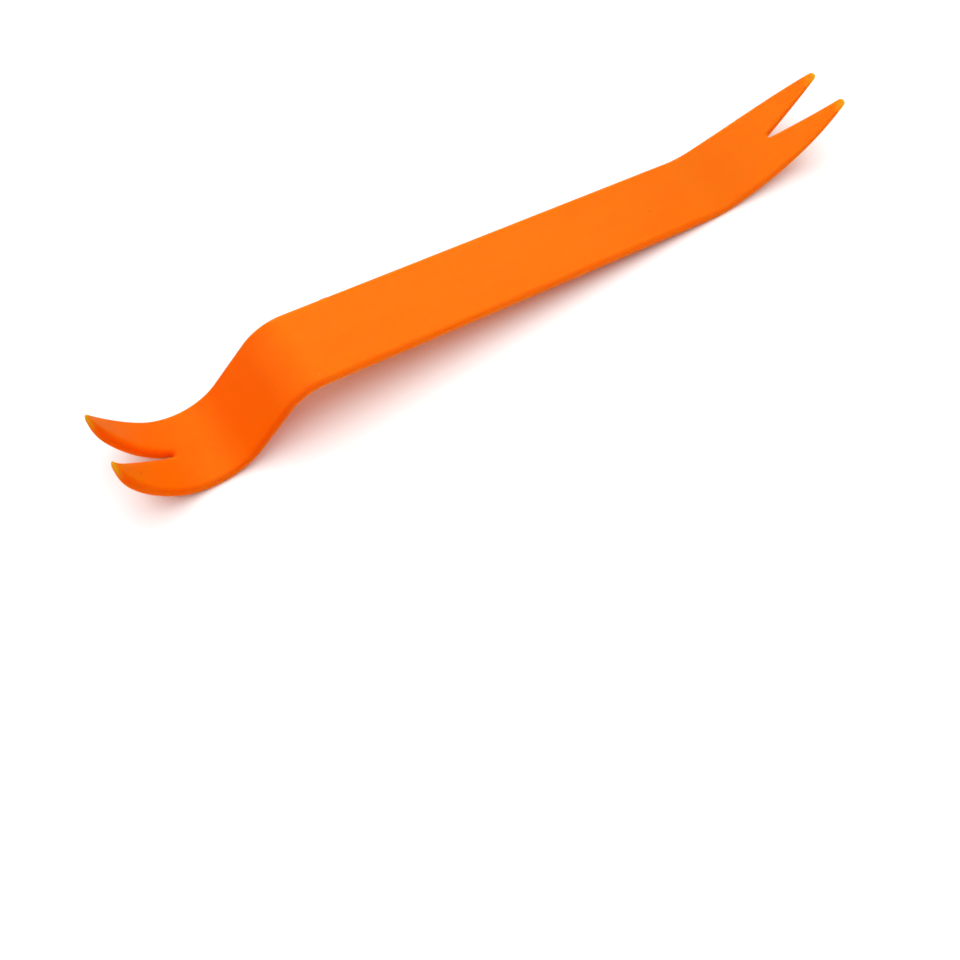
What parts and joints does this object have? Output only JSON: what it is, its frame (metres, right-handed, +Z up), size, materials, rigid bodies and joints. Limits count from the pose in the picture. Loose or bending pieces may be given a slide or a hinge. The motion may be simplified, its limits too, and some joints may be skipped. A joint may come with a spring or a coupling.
{
  "type": "trim removal tool",
  "caption": "Flat moulded pry bar for vehicle trim clips, with a forked tip at one end and a hooked, slotted claw on a gooseneck at the other.",
  "frame": {"origin": "middle of the tool's length and width, on the surface that it lies on", "axes": "+X along the tool from the claw to the fork, +Y across it, +Z up"},
  "size_m": [0.1924, 0.02, 0.0208],
  "materials": {
    "orange_nylon": "injection-moulded nylon with a satin surface"
  },
  "bodies": {
    "root": {"trim_tool": "orange_nylon"}
  },
  "joints": []
}
